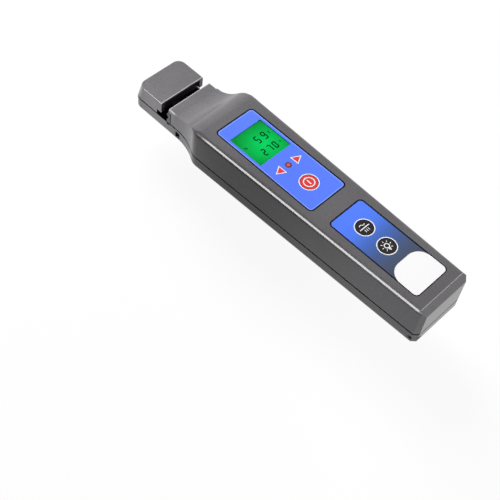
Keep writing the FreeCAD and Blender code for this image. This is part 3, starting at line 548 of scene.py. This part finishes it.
def treeNode(tree, kind, settings=None, sockets=None):
    item = tree.nodes.new(kind)
    for key, value in (settings or {}).items():
        setattr(item, key, value)
    for key, value in (sockets or {}).items():
        if isinstance(value, bpy.types.NodeSocket):
            tree.links.new(value, item.inputs[key])
        else:
            item.inputs[key].default_value = value
    return item


def endTree(tree, points, bar, rotation, given):
    copies = treeNode(tree, "GeometryNodeInstanceOnPoints", {}, {
        "Points": points, "Instance": bar, "Rotation": rotation})
    moved = treeNode(tree, "GeometryNodeTransform", {}, {
        "Geometry": copies.outputs["Instances"], "Translation": given.outputs["Middle"]})
    solid = treeNode(tree, "GeometryNodeRealizeInstances", {}, {"Geometry": moved.outputs["Geometry"]})
    painted = treeNode(tree, "GeometryNodeSetMaterial", {}, {
        "Geometry": solid.outputs["Geometry"], "Material": given.outputs["Material"]})
    treeNode(tree, "NodeGroupOutput", {}, {"Geometry": painted.outputs["Geometry"]})


def barsRoundTree():
    tree = newTree("barsRound", [("Count", "NodeSocketInt"), ("Radius", "NodeSocketFloat"),
                                 ("Bar", "NodeSocketVector"), ("Middle", "NodeSocketVector"),
                                 ("Material", "NodeSocketMaterial")])
    given = treeNode(tree, "NodeGroupInput")
    circle = treeNode(tree, "GeometryNodeMeshCircle", {}, {
        "Vertices": given.outputs["Count"], "Radius": given.outputs["Radius"]})
    bar = treeNode(tree, "GeometryNodeMeshCube", {}, {"Size": given.outputs["Bar"]})
    index = treeNode(tree, "GeometryNodeInputIndex")
    step = treeNode(tree, "ShaderNodeMath", {"operation": "DIVIDE"}, {
        0: index.outputs[0], 1: given.outputs["Count"]})
    turn = treeNode(tree, "ShaderNodeMath", {"operation": "MULTIPLY"}, {0: step.outputs[0], 1: 2 * math.pi})
    rotation = treeNode(tree, "ShaderNodeCombineXYZ", {}, {"Z": turn.outputs[0]})
    endTree(tree, circle.outputs["Mesh"], bar.outputs["Mesh"], rotation.outputs[0], given)
    return tree


def barsInRowTree():
    tree = newTree("barsInRow", [("Count", "NodeSocketInt"), ("Step", "NodeSocketVector"),
                                 ("Bar", "NodeSocketVector"), ("Middle", "NodeSocketVector"),
                                 ("Material", "NodeSocketMaterial")])
    given = treeNode(tree, "NodeGroupInput")
    row = treeNode(tree, "GeometryNodeMeshLine", {}, {
        "Count": given.outputs["Count"], "Offset": given.outputs["Step"]})
    bar = treeNode(tree, "GeometryNodeMeshCube", {}, {"Size": given.outputs["Bar"]})
    endTree(tree, row.outputs["Mesh"], bar.outputs["Mesh"], (0, 0, 0), given)
    return tree


def growPiece(name, tree, values, body):
    holder = bpy.data.objects.new(name + "Maker", bpy.data.meshes.new(name + "Seed"))
    bpy.context.scene.collection.objects.link(holder)
    grower = holder.modifiers.new("grow", "NODES")
    grower.node_group = tree
    for item in tree.interface.items_tree:
        if item.in_out == "INPUT":
            grower[item.identifier] = values[item.name]
    bpy.context.view_layer.update()
    seen = holder.evaluated_get(bpy.context.evaluated_depsgraph_get())
    mesh = bpy.data.meshes.new_from_object(seen)
    holder.modifiers.remove(grower)
    bpy.data.objects.remove(holder)
    mesh.name = name
    return newPiece(name, mesh, values["Material"], body)


barsRound = barsRoundTree()
barsInRow = barsInRowTree()

# places on the face are counted from the start of the display film; print stands in its surface
printSink = 0.01 * mm
printRise = 0.03 * mm
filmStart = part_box("display_overlay")[0].x + 0.2 * mm
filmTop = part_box("display_overlay")[1].z
printLow = filmTop - printSink
printHigh = filmTop + printRise

arrows = {
    "far": [(35.5, 4.1), (41.2, 4.2), (38.3, 9.45)], "near": [(35.5, -3.9), (38.5, -8.95), (41.2, -3.9)],
    "inset": 0.43, "dot": (38.3, 0.1), "dotRing": 1.75, "dotLens": 1.0,
}


def shrink(corners, amount):
    # triangle moved in by the same amount on every side
    area = sum(a[0] * b[1] - b[0] * a[1] for a, b in zip(corners, corners[1:] + corners[:1])) / 2
    sides = [math.dist(corners[1], corners[2]), math.dist(corners[2], corners[0]), math.dist(*corners[:2])]
    total = sum(sides)
    middle = [sum(side * corner[axis] for side, corner in zip(sides, corners)) / total for axis in (0, 1)]
    keep = 1 - amount / (2 * abs(area) / total)
    return [tuple(middle[axis] + (corner[axis] - middle[axis]) * keep for axis in (0, 1))
            for corner in corners]


def onFilm(points):
    return [(filmStart + x * mm, y * mm) for x, y in points]


def makeIndicators():
    triangles = [arrows["far"], arrows["near"]]
    fills = [shrink(corners, arrows["inset"]) for corners in triangles]

    def borders(work):
        for corners, fill in zip(triangles, fills):
            addBand(work, onFilm(corners), onFilm(fill), printLow, printHigh)

    def insides(work):
        for fill in fills:
            addPlate(work, onFilm(fill), printLow, printHigh)

    newPiece("arrowBorders", meshFrom("arrowBorders", borders), white, "housing")
    newPiece("arrowFills", meshFrom("arrowFills", insides), redPrint, "housing")
    x, y = onFilm([arrows["dot"]])[0]
    ring = circlePoints(x, y, arrows["dotRing"] * mm)
    lens = circlePoints(x, y, arrows["dotLens"] * mm)
    newPiece("indicatorRing", meshFrom("indicatorRing", lambda work: addBand(
        work, ring, lens, printLow, printHigh)), darkPrint, "housing")
    newPiece("indicatorLens", meshFrom("indicatorLens", lambda work: addPlate(
        work, lens, printLow, printHigh)), finishes["indicator_leds"], "housing")


# rings round the keys and the signs on them

keyLook = {
    "ringIn": 4.69, "ringOut": 5.16, "innerIn": 2.52, "innerOut": 3.06, "powerBar": (3.1, 0.6),
    # slash, then wave on one side of it and three bars on the other
    "slash": (6.4, 0.5), "beside": 1.75, "wave": (1.76, 0.45), "waveSteps": 12,
    "barPitch": 1.1, "barLong": 1.5, "stroke": 0.34,
    # bulb: its shift towards the head, its ring, the bars of its base as place and length, and its rays
    "bulbShift": 0.2, "bulb": (1.05, 1.5), "base": [(1.75, 1.5), (2.3, 1.2), (2.8, 0.7)], "baseWide": 0.36,
    "rays": (7, 2.55, 0.9, 0.34), "rayGap": (1.9, 0.4),
}


def addRing(work, x, y, outer, inner, low, high):
    addBand(work, circlePoints(x, y, outer * mm), circlePoints(x, y, inner * mm), low, high)


def makeKeyRings():
    def rings(work):
        for node in ("power_key", "mode_key", "light_key"):
            x, y = middleOf(node)[:2]
            addRing(work, x, y, keyLook["ringOut"], keyLook["ringIn"], printLow, printHigh)

    newPiece("keyRings", meshFrom("keyRings", rings), white, "housing")


def makeKeySigns():
    x, y, top = middleOf("power_key")
    low, high = top - printSink, top + printRise

    def powerSign(work):
        addRing(work, x, y, keyLook["innerOut"], keyLook["innerIn"], low, high)
        long, wide = keyLook["powerBar"]
        addPlate(work, barPoints(x, y, long * mm, wide * mm), low, high)

    newPiece("powerSign", meshFrom("powerSign", powerSign), white, "power_button")
    modeX, modeY = middleOf("mode_key")[:2]

    def modeSign(work):
        long, wide = keyLook["slash"]
        addPlate(work, barPoints(modeX, modeY, long * mm, wide * mm, math.pi / 2), low, high)
        beside, stroke, steps = keyLook["beside"] * mm, keyLook["stroke"] * mm, keyLook["waveSteps"]
        reach, swing = keyLook["wave"]
        wave = [(modeX - beside - swing * mm * math.sin(step / steps * 2 * math.pi),
                 modeY + (2 * step / steps - 1) * reach * mm) for step in range(steps + 1)]
        addPlate(work, strokePoints(wave, stroke), low, high)
        for side in (-1, 0, 1):
            y = modeY + side * keyLook["barPitch"] * mm
            addPlate(work, barPoints(modeX + beside, y, keyLook["barLong"] * mm, stroke), low, high)

    newPiece("modeSign", meshFrom("modeSign", modeSign), white, "mode_button")
    lightX, lightY = middleOf("light_key")[:2]
    bulbX = lightX - keyLook["bulbShift"] * mm

    def lampSign(work):
        inner, outer = keyLook["bulb"]
        addRing(work, bulbX, lightY, outer, inner, low, high)
        wide = keyLook["baseWide"] * mm
        for step, long in keyLook["base"]:
            addPlate(work, barPoints(bulbX + step * mm, lightY, long * mm, wide, math.pi / 2), low, high)

    newPiece("lampSign", meshFrom("lampSign", lampSign), white, "light_button")
    count, radius, long, wide = keyLook["rays"]
    rays = growPiece("lampRays", barsRound, {
        "Count": count + 1, "Radius": radius * mm, "Bar": (long * mm, wide * mm, high - low),
        "Middle": (bulbX, lightY, (low + high) / 2), "Material": white}, "light_button")
    # the ray on the side of the bulb's base is taken out
    gapStart, gapHalf = keyLook["rayGap"]
    work = bmesh.new()
    work.from_mesh(rays.data)
    hidden = [vert for vert in work.verts
              if vert.co.x > bulbX + gapStart * mm and abs(vert.co.y - lightY) < gapHalf * mm]
    bmesh.ops.delete(work, geom=hidden, context="VERTS")
    work.to_mesh(rays.data)
    work.free()


# blank field at the tail end of the keypad

patchLook = {"length": 18.1, "inset": 0.5, "round": 7.6, "tailRound": 2.3}


def makePatch():
    low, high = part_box("keypad_overlay")
    inset = patchLook["inset"] * mm
    headRound, tailRound = patchLook["round"] * mm, patchLook["tailRound"] * mm
    outline = roundedPoints(high.x - patchLook["length"] * mm, high.x - inset,
                            low.y + inset, high.y - inset,
                            [headRound, tailRound, tailRound, headRound])
    newPiece("blankField", meshFrom("blankField", lambda work: addPlate(
        work, outline, printLow, printHigh)), white, "housing")


# numbers on the display, seven strokes each; they read along +Y with their tops towards the head

segments = {"0": "abcdef", "1": "bc", "2": "abged", "3": "abgcd", "4": "fgbc", "5": "afgcd", "6": "afgedc",
            "7": "abc", "8": "abcdefg", "9": "abcdfg"}
readout = {
    "stroke": 0.62, "gap": 0.08, "rise": 0.04,
    # text, top and foot from the film's start, then each digit's left and right side
    "rows": [("59", 14.2, 19.2, [(-0.8, 1.6), (3.8, 6.3)]),
             ("270", 22.3, 26.9, [(-3.7, -1.5), (0.4, 2.6), (3.9, 6.1)])],
    # small marks: place, length, width and turn
    "ticks": [(16.8, -8.3, 1.5, 0.5, 0.35), (17.2, -7.7, 0.5, 1.0, 0.0), (16.3, 8.4, 0.4, 1.3, 0.0),
              (17.3, 8.4, 0.4, 0.8, 0.0), (24.5, 8.5, 1.2, 0.45, 0.5)],
}


def digitStrokes(text, top, foot, left, right):
    half = readout["stroke"] / 2
    gap = readout["gap"]
    middle = (top + foot) / 2
    across = (right - left) - 2 * half - gap
    upright = (foot - top) / 2 - half - gap
    centre = (left + right) / 2
    upperX = (top + half + middle) / 2
    lowerX = (foot - half + middle) / 2
    bars = {"a": (top + half, centre, across, True), "g": (middle, centre, across, True),
            "d": (foot - half, centre, across, True), "f": (upperX, left + half, upright, False),
            "b": (upperX, right - half, upright, False), "e": (lowerX, left + half, upright, False),
            "c": (lowerX, right - half, upright, False)}
    for name in segments[text]:
        yield bars[name]


def makeReadout():
    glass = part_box("lcd_panel")[1].z
    low, high = glass - printSink, glass + readout["rise"] * mm

    def strokes(work):
        for text, top, foot, sides in readout["rows"]:
            for digit, (left, right) in zip(text, sides):
                for x, y, long, lying in digitStrokes(digit, top, foot, left, right):
                    turn = math.pi / 2 if lying else 0.0
                    outline = barPoints(filmStart + x * mm, y * mm, long * mm, readout["stroke"] * mm, turn)
                    addPlate(work, outline, low, high)

    def ticks(work):
        for x, y, long, wide, turn in readout["ticks"]:
            addPlate(work, barPoints(filmStart + x * mm, y * mm, long * mm, wide * mm, turn), low, high)

    newPiece("displayDigits", meshFrom("displayDigits", strokes), digitPrint, "housing")
    newPiece("displayTicks", meshFrom("displayTicks", ticks), digitPrint, "housing")


# ruled lines on the sticker at the back

rules = {"count": 6, "margin": 3.0, "wide": 0.25, "deep": 0.03}


def makeRules():
    low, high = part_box("back_label")
    margin = rules["margin"] * mm
    step = (high.x - low.x - 2 * margin) / (rules["count"] - 1)
    growPiece("labelRules", barsInRow, {
        "Count": rules["count"], "Step": (step, 0, 0),
        "Bar": (rules["wide"] * mm, high.y - low.y - 2 * margin, rules["deep"] * mm),
        "Middle": (low.x + margin, (low.y + high.y) / 2, low.z), "Material": rulePrint}, "housing")


# return spring, which the trigger squeezes against its seat in the housing: here the part's mesh is copied
# with doubled points merged and fixed to the housing, not squeezed

springLook = {"seat": 25.4, "travel": 6.0, "merge": 0.001}


def makeReturnCoil():
    mesh = cad["return_spring"].data.copy()
    work = bmesh.new()
    work.from_mesh(mesh)
    bmesh.ops.remove_doubles(work, verts=work.verts, dist=springLook["merge"] * mm)
    work.to_mesh(mesh)
    work.free()
    coil = newPiece("returnCoil", mesh, finishes["return_spring"], "housing")
    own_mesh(coil)
    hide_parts("return_spring")


makeReturnCoil()
makeIndicators()
makeKeyRings()
makeKeySigns()
makePatch()
makeReadout()
makeRules()
print("printed marks made")


# floor, light and camera

stageLook = {
    "floor": 3.0, "floorDrop": 0.05 * mm, "floorGrey": 0.06, "floorRough": 0.9, "glow": 0.92, "world": 0.05,
    "spotSoft": 0.02,
    "softTop": {"spot": (-0.77, 0.34, 0.68), "turn": (0, -52.5, -23.9), "size": (0.6, 0.6), "power": 18.2,
                "glossy": False},
    "edgeGlow": {"spot": (-0.33, -0.8, 0.48), "turn": (0, -90, 90), "size": (0.74, 0.66), "power": 7.8,
                 "diffuse": False},
    "tailFill": {"spot": (0.73, 0.4, 0.27), "turn": (0, 72.6, 32.2), "size": (0.6, 0.6), "power": 2.4},
    "tailSpot": {"spot": (0.42, -0.5, 0.22), "turn": (0, -71.6, 124.7), "cone": 14.0, "power": 9.0,
                 "glossy": False},
    "headSpot": {"spot": (-0.495, -0.541, 0.205), "turn": (0, -75.4, 51.8), "cone": 5.0, "power": 40.0,
                 "glossy": False},
    "camera": {"spot": (0.18878, -0.26369, 0.43322), "turn": (34.763, -4.881, 45.09), "lens": 74.24,
               "sensor": 36.0, "near": 0.01},
}


def seenShare(paint):
    # rays that show the backdrop as it is: the camera's, and mirrored and clear ones
    path = paint.node("ShaderNodeLightPath").socket.node.outputs
    seen = Wire(paint, path["Is Camera Ray"])
    for name in ("Is Glossy Ray", "Is Transmission Ray"):
        seen = seen.most(Wire(paint, path[name]))
    return seen


def makeFloor():
    half = stageLook["floor"] / 2
    corners = [(-half, -half), (half, -half), (half, half), (-half, half)]

    def build(work):
        work.faces.new([work.verts.new((x, y, -stageLook["floorDrop"])) for x, y in corners])

    floor = bpy.data.objects.new("floor", meshFrom("floor", build))
    bpy.context.scene.collection.objects.link(floor)
    paint = Paint("floorWhite")
    nodes = paint.tree.nodes
    shader = nodes["Principled BSDF"]
    seen = seenShare(paint)
    grey = (stageLook["floorGrey"],) * 3 + (1.0,)
    paint.finish(Base_Color=paint.mix(seen, grey, (1, 1, 1, 1)), Roughness=stageLook["floorRough"],
                 Specular_IOR_Level=0.0)
    bright = paint.node("ShaderNodeEmission", {}, {"Color": (1, 1, 1, 1), "Strength": 1.0})
    plain = Wire(paint, shader.outputs[0])
    shown = paint.node("ShaderNodeMixShader", {}, {0: seen * stageLook["glow"], 1: plain, 2: bright})
    paint.feed(nodes["Material Output"].inputs["Surface"], shown)
    floor.data.materials.append(paint.owner)


def makeWorld():
    world = bpy.data.worlds.new("studio")
    bpy.context.scene.world = world
    paint = Paint("studio", world)
    background = paint.tree.nodes["Background"]
    level = stageLook["world"]
    paint.feed(background.inputs["Color"], (1, 1, 1, 1))
    paint.feed(background.inputs["Strength"], level + seenShare(paint) * (1 - level))


def makeLamp(name):
    look = stageLook[name]
    light = bpy.data.lights.new(name, "SPOT" if "cone" in look else "AREA")
    if "cone" in look:
        light.spot_size = math.radians(look["cone"])
        light.spot_blend = 1.0
        light.shadow_soft_size = stageLook["spotSoft"]
    else:
        light.shape = "RECTANGLE"
        light.size, light.size_y = look["size"]
    light.energy = look["power"]
    lamp = bpy.data.objects.new(name, light)
    lamp.location = look["spot"]
    lamp.rotation_euler = [math.radians(turn) for turn in look["turn"]]
    lamp.visible_diffuse = look.get("diffuse", True)
    lamp.visible_glossy = look.get("glossy", True)
    bpy.context.scene.collection.objects.link(lamp)


def makeCamera():
    look = stageLook["camera"]
    lens = bpy.data.cameras.new("camera")
    lens.lens = look["lens"]
    lens.sensor_width = look["sensor"]
    lens.sensor_fit = "HORIZONTAL"
    lens.clip_start = look["near"]
    camera = bpy.data.objects.new("camera", lens)
    camera.location = look["spot"]
    camera.rotation_euler = [math.radians(turn) for turn in look["turn"]]
    bpy.context.scene.collection.objects.link(camera)
    bpy.context.scene.camera = camera


makeFloor()
makeWorld()
for name in ("softTop", "edgeGlow", "tailFill", "tailSpot", "headSpot"):
    makeLamp(name)
makeCamera()
bpy.context.scene.view_settings.view_transform = "Standard"
print("stage set")
